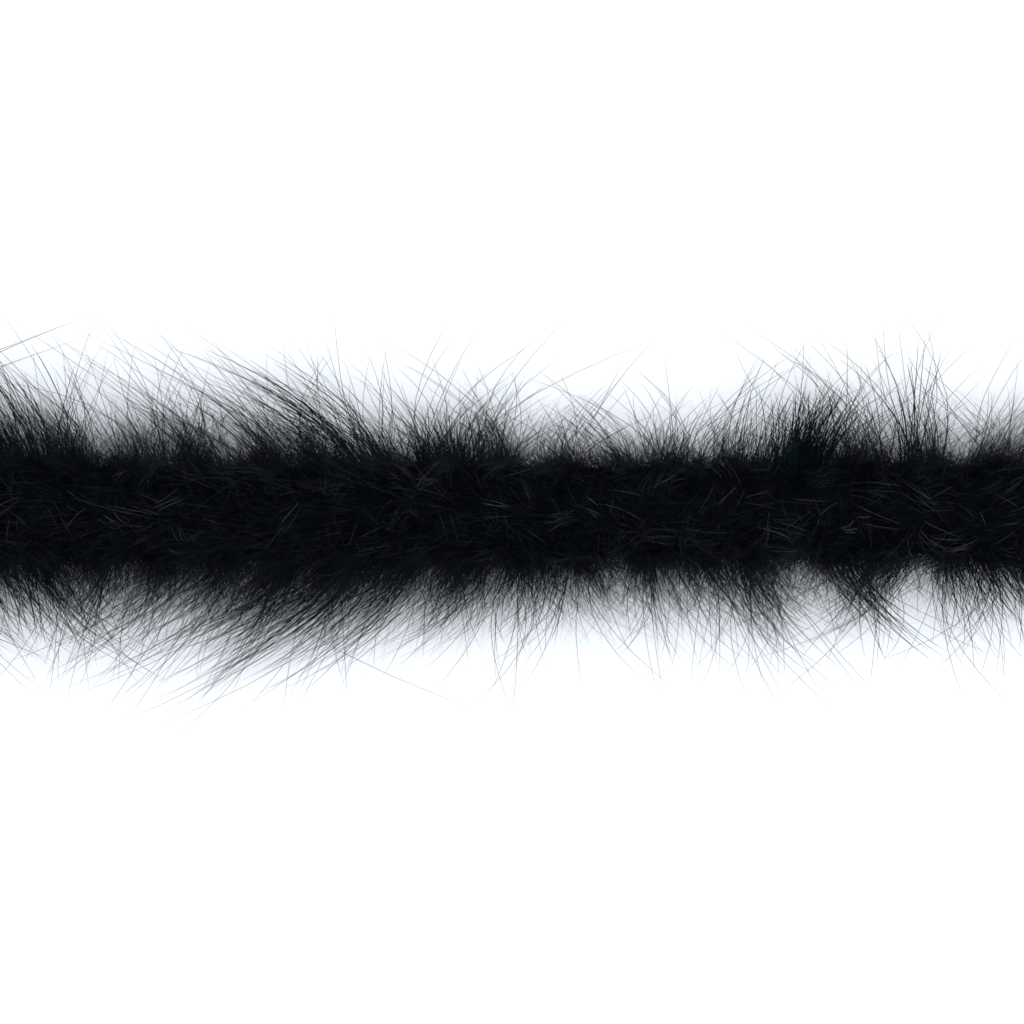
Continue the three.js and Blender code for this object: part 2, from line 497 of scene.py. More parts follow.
@dataclass(frozen=True)
class Template:
    """A tube of one unit's length and radius, which is copied along lines. Each vertex knows its ring,
    its angle round the tube and whether it is on the tube's wall or at a closed tip."""

    ring: Array
    angle: Array
    wall: Array
    faces: Array

    @classmethod
    def make(cls, sides: int, rings: int, pointed: bool) -> "Template":
        """Makes a tube with closed ends.

        Args:
            sides: The number of its sides.
            rings: The number of lengths that it is cut into.
            pointed: True if its far end runs out to a point.

        Returns:
            The tube, with its faces as triangles.
        """
        mesh = bmesh.new()
        bmesh.ops.create_cone(
            mesh,
            cap_ends=True,
            segments=sides,
            radius1=1.0,
            radius2=0.5 / rings if pointed else 1.0,
            depth=1.0,
            matrix=Matrix.Translation((0, 0, 0.5)),
        )
        for cut in range(1, rings):
            bmesh.ops.bisect_plane(
                mesh,
                geom=mesh.verts[:] + mesh.edges[:] + mesh.faces[:],
                plane_co=(0, 0, cut / rings),
                plane_no=(0, 0, 1),
            )
        if pointed:
            tip = [v for v in mesh.verts if v.co.z > 1 - 0.25 / rings]
            bmesh.ops.pointmerge(mesh, verts=tip, merge_co=(0, 0, 1))
        bmesh.ops.triangulate(mesh, faces=mesh.faces[:])
        bmesh.ops.recalc_face_normals(mesh, faces=mesh.faces[:])
        mesh.verts.index_update()
        places = np.array([v.co for v in mesh.verts])
        faces = np.array([[v.index for v in f.verts] for f in mesh.faces])
        mesh.free()
        ring = np.rint(places[:, 2] * rings).astype(int)
        wall = (np.hypot(places[:, 0], places[:, 1]) > 1e-4).astype(float)
        return cls(ring, np.arctan2(places[:, 1], places[:, 0]), wall, faces)

    def sweep(self, lines: Array, radii: Array, lobes: int = 0, twist: float = 0.0) -> tuple[Array, Array]:
        """Copies the tube along every one of some lines.

        Args:
            lines: The lines' points: line, ring, x y z.
            radii: The tube's radius at each of those points.
            lobes: The number of strands that show in the section, none for a round tube.
            twist: The angle that the section turns by from one ring to the next.

        Returns:
            The vertices and the triangles of all the tubes together.
        """
        ahead = np.gradient(lines, axis=1)
        ahead /= np.linalg.norm(ahead, axis=2, keepdims=True) + 1e-12
        aside = np.where(np.abs(ahead[:, :1, 2:]) < 0.8, [[[0.0, 0.0, 1.0]]], [[[1.0, 0.0, 0.0]]])
        across = np.cross(ahead, aside)
        across /= np.linalg.norm(across, axis=2, keepdims=True) + 1e-12
        upright = np.cross(ahead, across)
        angle = -self.angle + self.ring * twist
        reach = self.wall * (1 - 0.16 * (1 - np.abs(np.cos(lobes * self.angle / 2)))) if lobes else self.wall
        reach = radii[:, self.ring] * reach
        places = (
            lines[:, self.ring]
            + (reach * np.cos(angle))[..., None] * across[:, self.ring]
            + (reach * np.sin(angle))[..., None] * upright[:, self.ring]
        )
        first = np.arange(len(lines))[:, None, None] * len(self.ring)
        return places.reshape(-1, 3), (self.faces[None] + first).reshape(-1, 3)


def new_piece(
    name: str,
    places: Array,
    faces: Array,
    material: bpy.types.Material,
    marks: Mapping[str, Array] | None = None,
) -> bpy.types.Object:
    """Makes a smooth mesh object of triangles.

    Args:
        name: The piece's name.
        places: Its vertices.
        faces: Its triangles.
        material: Its finish.
        marks: Values for each vertex, by the name of the attribute that holds them.

    Returns:
        The object, at the origin.
    """
    mesh = bpy.data.meshes.new(name)
    mesh.vertices.add(len(places))
    mesh.vertices.foreach_set("co", places.astype(np.float32).ravel())
    mesh.loops.add(faces.size)
    mesh.loops.foreach_set("vertex_index", faces.astype(np.int32).ravel())
    mesh.polygons.add(len(faces))
    mesh.polygons.foreach_set("loop_start", np.arange(0, faces.size, 3, dtype=np.int32))
    mesh.polygons.foreach_set("use_smooth", np.ones(len(faces), bool))
    mesh.update(calc_edges=True)
    for mark, values in (marks or {}).items():
        mesh.attributes.new(mark, "FLOAT", "POINT").data.foreach_set("value", values.astype(np.float32))
    mesh.materials.append(material)
    piece = bpy.data.objects.new(name, mesh)
    bpy.context.scene.collection.objects.link(piece)
    return piece


def piece_of(name: str, mesh: bmesh.types.BMesh, material: bpy.types.Material) -> bpy.types.Object:
    """Turns a bmesh into a smooth object and frees it.

    Args:
        name: The piece's name.
        mesh: The finished bmesh.
        material: Its finish.

    Returns:
        The object, at the origin.
    """
    bmesh.ops.triangulate(mesh, faces=mesh.faces[:])
    bmesh.ops.recalc_face_normals(mesh, faces=mesh.faces[:])
    mesh.verts.index_update()
    places = np.array([v.co for v in mesh.verts])
    faces = np.array([[v.index for v in f.verts] for f in mesh.faces])
    mesh.free()
    return new_piece(name, places, faces, material)


# ---------------------------------------------------------------- how the down is combed


def end_taper(station: Array, boa_end: float) -> Array:
    """How the body of the boa rounds off towards both ends of the feathers.

    Args:
        station: Some stations along the cord.
        boa_end: The station of the last feathers.

    Returns:
        The body's thickness there, as a share of its full one.
    """
    past = np.clip((np.abs(station) - boa_end + 15 * MM) / (16 * MM), 0, 0.97)
    return np.sqrt(1 - past**2)


@dataclass(frozen=True)
class Edge:
    """How the fringe on one side of the boa has been brushed: at some stations in millimetres, how far
    its barbs lean towards +X as a share of their reach, how far the longest of them reach in
    millimetres, and how full it is."""

    lean: Table
    reach: Table
    fill: Table

    def read(self, table: Table, station: Array) -> Array:
        """One of the edge's tables, read at some stations in metres."""
        return np.interp(station / MM, [row[0] for row in table], [row[1] for row in table])


@dataclass(frozen=True)
class Tuft:
    """One plume whose barbs have stayed together: its station and spread along the cord, the way it
    points, its lean as a share of its reach, its reach and the number of its barbs."""

    station: float
    spread: float
    angle: float
    lean: float
    reach: float
    barbs: int


@dataclass(frozen=True)
class Combing:
    """The way the down lies along the whole boa. The middle of it is given in tables. Beyond that the lean,
    the reach and the fill wander gently. Everywhere the down draws together in clumps."""

    hand_combed: float = 150 * MM
    clump_pitch: float = 17 * MM
    far: Edge = Edge(
        lean=(
            (-150, -0.45), (-110, -0.25), (-78, -0.4), (-52, -0.7), (-36, -0.4), (-12, 0.1),
            (10, -0.15), (30, -0.3), (48, -0.1), (66, 0.1), (84, 0.4), (104, 0.05), (122, 0.3), (150, 0.45),
        ),
        reach=(
            (-150, 54), (-100, 48), (-60, 52), (-30, 49), (0, 48), (30, 42), (55, 42), (80, 45), (112, 50),
            (150, 47),
        ),
        fill=(
            (-150, 1.1), (-100, 0.9), (-60, 0.78), (-10, 0.95), (25, 0.65), (65, 0.68), (95, 0.8),
            (150, 0.85),
        ),
    )
    near: Edge = Edge(
        lean=(
            (-150, 0.55), (-128, 0.4), (-112, -0.35), (-84, -0.55), (-58, -0.8), (-30, -0.75), (-8, -0.3),
            (20, 0.1), (45, 0.2), (72, 0.1), (95, -0.25), (115, -0.1), (132, 0.35), (150, 0.5),
        ),
        reach=(
            (-150, 49), (-115, 46), (-70, 51), (-30, 55), (-5, 50), (25, 47), (60, 52), (85, 53), (110, 48),
            (150, 45),
        ),
        fill=(
            (-150, 0.8), (-110, 0.8), (-60, 1.05), (-15, 1.15), (20, 0.95), (60, 0.9), (90, 0.75),
            (150, 0.65),
        ),
    )
    tufts: tuple[Tuft, ...] = (
        Tuft(78 * MM, 5.0 * MM, 0.25, 0.2, 35 * MM, 125),
        Tuft(84 * MM, 3.5 * MM, -0.1, 0.35, 37 * MM, 75),
        Tuft(-136 * MM, 7.0 * MM, 0.15, -0.5, 45 * MM, 90),
        Tuft(-14 * MM, 3.0 * MM, 0.15, 0.0, 30 * MM, 60),
        Tuft(-22 * MM, 2.5 * MM, 0.1, -0.5, 31 * MM, 40),
        Tuft(113 * MM, 4.0 * MM, 0.1, -0.1, 48 * MM, 24),
        Tuft(-42 * MM, 5.0 * MM, 0.2, -1.1, 46 * MM, 40),
        Tuft(-46 * MM, 9.0 * MM, math.pi + 0.1, -1.0, 46 * MM, 60),
        Tuft(-138 * MM, 6.0 * MM, math.pi + 0.2, 0.4, 36 * MM, 90),
        Tuft(134 * MM, 5.0 * MM, math.pi - 0.1, 0.5, 31 * MM, 80),
        Tuft(92 * MM, 3.0 * MM, math.pi, 0.7, 40 * MM, 40),
        Tuft(64 * MM, 4.0 * MM, math.pi + 0.1, 0.5, 36 * MM, 35),
    )

    def fields(self, station: Array, angle: Array) -> tuple[Array, Array, Array]:
        """Reads the combing for some barbs.

        Args:
            station: Where they grow along the cord.
            angle: The way they grow from it, from level towards +Y and up.

        Returns:
            Their lean as a share of their reach, the reach of the longest and the fill.
        """
        share = 0.5 + 0.5 * np.cos(angle)
        values = []
        for name, level, swing in (("lean", 0.0, 0.55), ("reach", 44.0, 4.0), ("fill", 1.0, 0.2)):
            far, near = (edge.read(getattr(edge, name), station) for edge in (self.far, self.near))
            wander = level + swing * (
                np.sin(station / (31 * MM) + 2.1 * share + level)
                + 0.6 * np.sin(station / (13 * MM) + 4.0 * share)
            )
            outside = np.clip((np.abs(station) - self.hand_combed) / (25 * MM), 0, 1)
            values.append((far * share + near * (1 - share)) * (1 - outside) + wander * outside)
        lean, reach, fill = values
        phase = 2 * math.pi * station / self.clump_pitch + 3.0 * share + 0.8 * np.sin(station / (37 * MM))
        lean = lean + 0.22 * np.cos(phase)
        reach = reach * (1 + 0.06 * np.sin(phase))
        fill = fill * (1 + 0.45 * np.sin(phase) + 0.2 * np.sin(2.7 * phase))
        return lean, reach * MM, fill


# ---------------------------------------------------------------- barbs of down


@dataclass(frozen=True)
class Growth:
    """How thickly one kind of barb grows: locks of barbs for a metre of boa, barbs in a lock, the barb's
    radius at its root and the lengths that it is cut into."""

    kind: BarbKind
    locks: float
    barbs: int
    radius: float
    rings: int


@dataclass
class Barbs:
    """Barbs of one growth on the straight boa, with one entry for each."""

    station: Array
    angle: Array
    start: Array
    reach: Array
    lean: Array
    turn: Array
    bow: Array
    # How far each barb's colour is mixed towards the pale painted highlight.
    shade: Array
    radius: float
    first_along: float = 0.0
    sag: float = 1.6
    table_gap: float = 0.4 * MM
    table_ease: float = 6 * MM
    table_slide: float = 0.3

    def lines(self, along: Array, lay: Lay) -> Array:
        """Draws the barbs.

        Args:
            along: The shares of their length at which points are wanted.
            lay: The boa's lay.

        Returns:
            Their points in the frame: barb, point, x y z.
        """
        t = along[None, :]
        column = {
            name: getattr(self, name)[:, None]
            for name in ("station", "angle", "start", "reach", "lean", "turn", "bow")
        }
        out = column["start"] + (column["reach"] - column["start"]) * (t + 0.12 * t * (1 - t))
        curl = np.sin(math.pi * t) * t + 0.2 * np.sin(2 * math.pi * t)
        station = column["station"] + column["lean"] * t**1.6 + column["bow"] * curl
        angle = column["angle"] + column["turn"] * t**1.4
        side, up = out * np.cos(angle), out * np.sin(angle)
        # The longer a barb is, the more its tip hangs.
        up = up - self.sag * column["reach"] ** 2 * t**2.5
        # A barb that comes near the table bends along it, and its tip slides outwards.
        table = -lay.height + self.radius * 2 + self.table_gap
        above = up - table
        eased = np.sqrt(above**2 + self.table_ease**2)
        up = table + (eased + above) / 2
        side = side + np.sign(np.cos(column["angle"])) * self.table_slide * (eased - above)
        return lay.place(station, side, up)


@dataclass
class DownSection:
    """A stretch of down: the fringe of long wisps, the underfuzz below it and the barbs that lie on the
    body, each kind grown in locks as the barbs of one plume are, and the cushion that the boa lies on,
    whose barbs reach between two distances in millimetres from the cord's axis."""

    name: str
    start: float
    end: float
    growths: tuple[Growth, ...]
    combing: Combing
    boa_end: float
    seed: int
    body_radius: float = 13.0 * MM
    root_depth: float = 2 * MM
    cloud_radius: float = 32 * MM
    tuft_radius: float = 0.15 * MM
    cushion_barbs: int = 680
    cushion_radius: float = 0.15 * MM
    cushion_reach: tuple[float, float] = (17, 33)
    deepest: float = 40 * MM
    top_trim: float = 0.26
    fan_length: float = 9 * MM
    fan_lean: float = 1.1

    def build(self, lay: Lay, finish: bpy.types.Material) -> bpy.types.Object:
        """Grows every barb of the section.

        Args:
            lay: The boa's lay.
            finish: The down's material.

        Returns:
            The section as one mesh.
        """
        rng = np.random.default_rng(self.seed)
        batches = [(growth.rings, self.grow(growth, rng)) for growth in self.growths]
        low, high = sorted((self.start, self.end))
        batches += [
            (self.growths[0].rings, self.tuft(tuft, rng))
            for tuft in self.combing.tufts
            if low <= tuft.station < high
        ]
        batches.append((2, self.cushion(rng)))
        places, faces, along, shade = [], [], [], []
        count = 0
        for rings, barbs in batches:
            template = Template.make(3, rings, pointed=True)
            shares = np.arange(rings + 1) / rings
            lines = barbs.lines(shares, lay)
            taper = barbs.radius * (1 - 0.7 * shares**1.8)
            radii = np.repeat(taper[None, :], len(lines), axis=0)
            spots, triangles = template.sweep(lines, radii)
            places.append(spots)
            faces.append(triangles + count)
            count += len(spots)
            on = barbs.first_along + (1 - barbs.first_along) * template.ring / rings
            along.append(np.tile(on, len(lines)))
            shade.append(np.repeat(barbs.shade, len(template.ring)))
        marks = {"barb_along": np.concatenate(along), "barb_shade": np.concatenate(shade)}
        return new_piece(self.name, np.concatenate(places), np.concatenate(faces), finish, marks)

    def grow(self, growth: Growth, rng: np.random.Generator) -> Barbs:
        """Sets out the barbs of one growth.

        Args:
            growth: What to grow.
            rng: The section's random numbers.

        Returns:
            The barbs.
        """
        length = abs(self.end - self.start)
        locks = max(1, round(growth.locks * length))
        turn = np.arange(locks) * GOLDEN_ANGLE + rng.uniform(0, 2 * math.pi)
        root = self.start + (self.end - self.start) * (np.arange(locks) + rng.random(locks)) / locks
        angle = (turn + rng.normal(0, 0.25, locks)) % (2 * math.pi)
        angle = angle - 0.2 * np.sin(2 * angle)
        lean, reach, fill = self.combing.fields(root, angle)
        top = np.clip(np.sin(angle), 0, 1)
        chance = fill * (1 - 0.5 * top**2) if growth.kind is BarbKind.WISP else np.maximum(fill**1.3, 0.6)
        kept = rng.random(locks) < chance / 1.6
        root, angle, lean, reach, fill = (x[kept] for x in (root, angle, lean, reach, fill))
        locks = len(root)

        # Close to an end of the boa the barbs fan outwards past it.
        fan = np.exp((np.abs(root) - self.boa_end) / self.fan_length)
        lean = lean * (1 - fan) + np.sign(root) * self.fan_lean * fan + rng.normal(0, 0.36, locks)
        reach = reach * rng.uniform(0.82, 1.27, locks)
        barb = np.repeat(np.arange(locks), growth.barbs)
        total = len(barb)
        if growth.kind is BarbKind.LYING:
            return self.lying(growth, rng, barb, root, angle, lean)
        wisp = growth.kind is BarbKind.WISP
        spread = 1.6 * MM if wisp else 3.0 * MM
        station = root[barb] + rng.normal(0, spread, total)
        around = angle[barb] + rng.normal(0, 0.16 if wisp else 0.3, total)
        inner = (self.body_radius - self.root_depth) * end_taper(station, self.boa_end)
        if wisp:
            share = rng.random(total) ** 1.4
            out = self.body_radius + 5 * MM + (reach[barb] - self.body_radius - 5 * MM) * share
        else:
            # The body swells where the down is full, and most of all on the near side.
            cloud = (self.cloud_radius - self.body_radius) * fill[barb] ** 0.7
            lump = 4.5 * np.clip(fill[barb] - 0.75, 0, 0.8)
            pad = (1.4 * (1 - np.cos(around)) * fill[barb] + lump) * MM
            out = self.body_radius + pad + cloud * rng.random(total) ** 1.5
        rise = np.sin(around)
        out = out * (1 - self.top_trim * np.clip(rise, 0, 1))
        out = np.where(rise < -0.3, np.minimum(out, self.deepest / np.maximum(-rise, 0.3)), out)
        stray = rng.standard_t(3, total) * (0.13 if wisp else 0.35)
        leaning = np.clip(lean[barb] + stray, -1.7, 1.7) * (out - inner)
        return Barbs(
            station=station,
            angle=around,
            start=inner,
            reach=out,
            lean=leaning,
            turn=rng.normal(0, 0.2, total),
            bow=rng.normal(0, 0.15 if wisp else 0.18, total) * out,
            # A faint painted highlight on a few wisps.
            shade=rng.random(total) ** 3 * 0.3,
            radius=growth.radius,
        )

    def lying(
        self,
        growth: Growth,
        rng: np.random.Generator,
        lock: Array,
        root: Array,
        angle: Array,
        lean: Array,
    ) -> Barbs:
        """Sets out barbs that lie along the body, with their tips a little up. Those of a lock lie the
        same way and share a painted highlight, a paler colour that stands in for the light that they catch.

        Args:
            growth: What to grow.
            rng: The section's random numbers.
            lock: The number of each barb's lock.
            root: The station of each lock.
            angle: The way each lock faces.
            lean: The lean of each lock.

        Returns:
            The barbs.
        """
        locks, total = len(root), len(lock)
        way = np.where(lean + rng.normal(0, 0.6, locks) < 0, -1.0, 1.0)[lock]
        slant = rng.normal(0, 0.6, locks)[lock] + rng.normal(0, 0.2, total)
        size = rng.uniform(4, 15, locks)[lock]
        length = size * rng.uniform(0.7, 1.2, total) * MM
        curl = rng.normal(0, 0.22, locks)[lock] + rng.normal(0, 0.08, total)
        station = root[lock] + rng.normal(0, 1.3, total) * MM
        start = (self.body_radius - rng.uniform(0.5, 2.0, total) * MM) * end_taper(station, self.boa_end)
        return Barbs(
            station=station,
            angle=angle[lock] + rng.normal(0, 0.12, total),
            start=start,
            reach=start + rng.uniform(1.5, 6.5, total) * MM,
            lean=way * length * np.cos(slant),
            turn=length * np.sin(slant) / self.body_radius,
            bow=curl * length,
            # Painted highlight: brightest in a few locks, and in single barbs within them.
            shade=rng.random(locks)[lock] ** 2 * rng.random(total) ** 3.2,
            radius=growth.radius,
            first_along=0.4,
        )

    def tuft(self, tuft: Tuft, rng: np.random.Generator) -> Barbs:
        """Sets out the barbs of one tuft.

        Args:
            tuft: The tuft.
            rng: The section's random numbers.

        Returns:
            The barbs.
        """
        total = tuft.barbs
        out = tuft.reach * rng.uniform(0.5, 1.08, total)
        inner = self.body_radius - self.root_depth
        return Barbs(
            station=tuft.station + rng.normal(0, tuft.spread, total),
            angle=tuft.angle + rng.normal(0, 0.2, total),
            start=np.full(total, inner),
            reach=out,
            lean=(tuft.lean + rng.normal(0, 0.22, total)) * (out - inner),
            turn=rng.normal(0, 0.08, total),
            bow=rng.normal(0.03, 0.03, total) * out,
            shade=np.zeros(total),
            radius=self.tuft_radius,
        )

    def cushion(self, rng: np.random.Generator) -> Barbs:
        """Sets out the down under the body, which the boa lies on.

        Args:
            rng: The section's random numbers.

        Returns:
            The barbs.
        """
        total = self.cushion_barbs
        station = self.start + (self.end - self.start) * rng.random(total)
        around = np.clip(rng.normal(0, 0.4, total), -0.75, 0.75) - math.pi / 2
        inner = (self.body_radius - self.root_depth) * end_taper(station, self.boa_end)
        out = rng.uniform(*self.cushion_reach, total) * MM
        return Barbs(
            station=station,
            angle=around,
            start=inner,
            reach=out,
            lean=rng.normal(0, 0.35, total) * (out - inner),
            turn=rng.normal(0, 0.15, total),
            bow=rng.normal(0, 0.15, total) * out,
            shade=np.zeros(total),
            radius=self.cushion_radius,
        )


# ---------------------------------------------------------------- what is inside the down


@dataclass
class InnerCore:
    """What lies inside a span's down: the matted inner down, the quills bound in thread and the core
    cord. The matted down runs a little into the neighbouring spans, so that a bent boa shows no gap."""

    span: Span
    lay: Lay
    boa_end: float
    matted_radius: float = 12.2 * MM
    binding_radius: float = 3.6 * MM
    cord_radius: float = 1.5 * MM
    ring_pitch: float = 2.0 * MM
    cord_lay: float = 11 * MM
    overlap: float = 3.0 * MM

    def line(self, margin: float) -> tuple[Array, Array]:
        """The span's axis, with an end that runs past it by a margin.

        Args:
            margin: How far the line runs past both ends of the span.

        Returns:
            The stations of its points, closer together than the ring pitch, and the axis as one line.
        """
        way = math.copysign(margin, self.span.end - self.span.start)
        first, last = self.span.start - way, self.span.end + way
        rings = math.ceil(abs(last - first) / self.ring_pitch)
        station = np.linspace(first, last, rings + 1)
        level = np.zeros(rings + 1)
        return station, self.lay.place(station, level, level)[None]

    def build_matted_down(self, finish: bpy.types.Material) -> bpy.types.Object:
        """Builds the matted inner down: a lumpy roll, closed at both ends.

        Args:
            finish: Its material.

        Returns:
            The piece.
        """
        station, line = self.line(self.overlap)
        rings = line.shape[1] - 1
        template = Template.make(20, rings, pointed=False)
        wave = 0.05 * np.sin(station / (2.7 * MM)) + 0.03 * np.sin(station / (1.3 * MM))
        radii = self.matted_radius * (1 + wave[None])
        radii *= end_taper(station, self.boa_end)
        radii[0, [0, -1]] *= 0.55
        places, faces = template.sweep(line, radii)
        x, y, z = places.T
        lumps = np.sin(x / (2.3 * MM)) * np.sin(y / (1.9 * MM) + z / (2.1 * MM))
        places[:, 2] += 0.7 * MM * lumps
        return new_piece(f"inner_down_{self.span.label}", places, faces, finish)

    def build_binding(self, finish: bpy.types.Material) -> bpy.types.Object:
        """Builds the binding: a roll of quill butts ribbed by the thread wound over it.

        Args:
            finish: Its material.

        Returns:
            The piece.
        """
        _, line = self.line(0.0)
        rings = line.shape[1] - 1
        template = Template.make(10, rings, pointed=False)
        radii = self.binding_radius * (1 - 0.06 * (np.arange(rings + 1)[None] % 2))
        places, faces = template.sweep(line, radii)
        return new_piece(f"quill_binding_{self.span.label}", places, faces, finish)

    def build_cord(self, finish: bpy.types.Material) -> bpy.types.Object:
        """Builds the core cord of three twisted strands.

        Args:
            finish: Its material.

        Returns:
            The piece.
        """
        _, line = self.line(0.0)
        rings = line.shape[1] - 1
        template = Template.make(12, rings, pointed=False)
        radii = np.full((1, rings + 1), self.cord_radius)
        step = 2 * math.pi * self.ring_pitch / self.cord_lay
        places, faces = template.sweep(line, radii, lobes=3, twist=step)
        return new_piece(f"core_cord_piece_{self.span.label}", places, faces, finish)


# ---------------------------------------------------------------- the two ends


@dataclass
class BoaEnd:
    """One end of the boa: the whipping, the bare tail of the core cord, its knot and its frayed tip."""

    side: Side
    lay: Lay
    run_end: float
    cord_radius: float = 1.5 * MM
    cord_lay: float = 11 * MM
    whipping_length: float = 8 * MM
    whipping_radius: float = 2.9 * MM
    thread_radius: float = 0.32 * MM
    knot_coil_radius: float = 2.9 * MM
    knot_turns: float = 1.75
    knot_length: float = 9 * MM
    fray_length: float = 6.5 * MM
    clearance: float = 0.3 * MM
    # The tail's route from the last feathers: along the cord, to the side and share of the drop, in
    # millimetres but for the share. The same points as the frame's own tail.
    tail_points: tuple[Point, ...] = (
        (0, 0, 0),
        (6, 0, 0),
        (11, 0.2, 0.02),
        (16, 0.8, 0.12),
        (20, 1.8, 0.3),
        (23.5, 3, 0.51),
        (27, 4.4, 0.73),
        (31, 6, 0.89),
        (36, 7.6, 0.98),
        (41, 8.8, 1),
    )
    tail_drop: float = 25.4 * MM
    points: list[Vector] = field(default_factory=list)

    def at(self, along: float, side: float, drop: float) -> Vector:
        """A point past the last feathers, in the frame.

        Args:
            along: The distance on along the cord.
            side: The distance to the side.
            drop: The distance under the cord's axis.

        Returns:
            The point.
        """
        sign = self.side.value
        return self.lay.point(sign * (self.run_end + along), sign * side, -drop)

    def route(self) -> list[Vector]:
        """The tail's centreline as a smooth curve through its points.

        Returns:
            Points about a millimetre apart.
        """
        hand = [
            self.at(x * MM + self.clearance, y * MM, fall * self.tail_drop)
            for x, y, fall in self.tail_points
        ]
        curve = bpy.data.curves.new("tail_route", "CURVE")
        curve.dimensions = "3D"
        spline = curve.splines.new("BEZIER")
        spline.bezier_points.add(len(hand) - 1)
        for handle, place in zip(spline.bezier_points, hand, strict=True):
            handle.co = place
            handle.handle_left_type = handle.handle_right_type = "AUTO"
        spline.resolution_u = 5
        holder = bpy.data.objects.new("tail_route", curve)
        bpy.context.scene.collection.objects.link(holder)
        bpy.context.view_layer.update()
        line = [v.co.copy() for v in holder.to_mesh().vertices]
        holder.to_mesh_clear()
        bpy.data.objects.remove(holder)
        bpy.data.curves.remove(curve)
        return line

    def build_tail(self, finish: bpy.types.Material) -> bpy.types.Object:
        """Builds the bare tail of twisted cord.

        Args:
            finish: The cord's material.

        Returns:
            The tail.
        """
        self.points = self.route()
        line = np.array(self.points)[None]
        rings = line.shape[1] - 1
        template = Template.make(18, rings, pointed=False)
        radii = np.full((1, rings + 1), self.cord_radius * 1.06)
        step = 2 * math.pi * self.length() / rings / self.cord_lay
        places, faces = template.sweep(line, radii, lobes=3, twist=step)
        return new_piece(f"cord_tail_{self.side.label}", places, faces, finish)

    def length(self) -> float:
        """The tail's length along its centreline."""
        return sum((b - a).length for a, b in zip(self.points, self.points[1:], strict=False))

    def build_whipping(self, finish: bpy.types.Material) -> bpy.types.Object:
        """Winds the whipping: thread laid turn against turn over a sleeve.

        Args:
            finish: The thread's material.

        Returns:
            The whipping.
        """
        turns = int((self.whipping_length - 2 * self.thread_radius) / (2 * self.thread_radius))
        mesh = bmesh.new()
        made = bmesh.ops.create_circle(
            mesh,
            segments=6,
            radius=self.thread_radius,
            cap_ends=True,
            matrix=Matrix.Translation((self.thread_radius, 0, self.whipping_radius - self.thread_radius))
            @ Matrix.Rotation(math.pi / 2, 4, "X"),
        )
        rings = turns * 20
        bmesh.ops.spin(
            mesh,
            geom=made["verts"] + mesh.edges[:] + mesh.faces[:],
            cent=(0, 0, 0),
            axis=(1, 0, 0),
            dvec=((self.whipping_length - 2 * self.thread_radius) / rings, 0, 0),
            angle=turns * 2 * math.pi,
            steps=rings,
        )
        bmesh.ops.create_cone(
            mesh,
            cap_ends=True,
            segments=20,
            radius1=self.whipping_radius - self.thread_radius,
            radius2=self.whipping_radius - self.thread_radius,
            depth=self.whipping_length,
            matrix=Matrix.Translation((self.whipping_length / 2, 0, 0))
            @ Matrix.Rotation(math.pi / 2, 4, "Y"),
        )
        heading = self.at(1.0, 0, 0) - self.at(0, 0, 0)
        turned = heading.to_track_quat("X", "Z").to_matrix().to_4x4()
        bmesh.ops.transform(
            mesh,
            matrix=Matrix.Translation(self.at(self.clearance, 0, 0)) @ turned,
            verts=mesh.verts[:],
        )
        return piece_of(f"thread_whipping_{self.side.label}", mesh, finish)

    def build_quills(self, finish: bpy.types.Material) -> bpy.types.Object:
        """Sets a few quill butts under the whipping's inner end, where the last plumes are bound in.

        Args:
            finish: The quills' material.

        Returns:
            The quills.
        """
        rng = np.random.default_rng(31 + self.side.value)
        lines = []
        for turn in range(7):
            angle = turn * GOLDEN_ANGLE + rng.uniform(-0.3, 0.3)
            out = np.array([3.2, 3.5, 4.3]) * MM
            along = np.array([-3.0, 3.0, 10.0 + rng.uniform(-1.5, 1.0)]) * MM
            side, drop = out * math.cos(angle), -out * math.sin(angle)
            lines.append([self.at(*spot) for spot in zip(along, side, drop, strict=True)])
        template = Template.make(6, 2, pointed=False)
        radii = np.repeat([[0.4 * MM, 0.35 * MM, 0.28 * MM]], len(lines), axis=0)
        places, faces = template.sweep(np.array(lines), radii)
        return new_piece(f"quill_butts_{self.side.label}", places, faces, finish)

    def knot_frame(self) -> Matrix:
        """Finds where the knot is: on the table at the tail's end, with +X on along the tail.

        Returns:
            The matrix that puts a knot drawn at the origin in its place.
        """
        heading = self.points[-1] - self.points[-2]
        heading.z = 0
        turned = heading.to_track_quat("X", "Z").to_matrix().to_4x4()
        return Matrix.Translation(self.points[-1]) @ turned

    def build_knot(self, finish: bpy.types.Material) -> bpy.types.Object:
        """Ties the knot: the cord leaves its own axis, winds round itself and comes back to the axis.

        Args:
            finish: The cord's material.

        Returns:
            The knot.
        """
        share = np.linspace(0, 1, 71)
        rise = np.clip(share / 0.14, 0, 1) * np.clip((1 - share) / 0.14, 0, 1)
        out = self.knot_coil_radius * rise * rise * (3 - 2 * rise)
        angle = 2 * math.pi * (self.knot_turns + 0.4) * share
        along = self.knot_length * (0.08 + 0.84 * share) + (share - 0.5) * 3.5 * MM
        coil = np.stack([along, out * np.cos(angle), out * np.sin(angle)], axis=-1)
        middle = np.stack([np.linspace(-0.5, 14, 71) * MM, np.zeros(71), np.zeros(71)], axis=-1)
        template = Template.make(14, 70, pointed=False)
        radii = np.stack([np.full(71, self.cord_radius), np.full(71, 0.9 * self.cord_radius)])
        places, faces = template.sweep(np.stack([coil, middle]), radii, lobes=3, twist=0.18)
        turned = np.array(self.knot_frame())
        places = places @ turned[:3, :3].T + turned[:3, 3]
        return new_piece(f"overhand_knot_{self.side.label}", places, faces, finish)

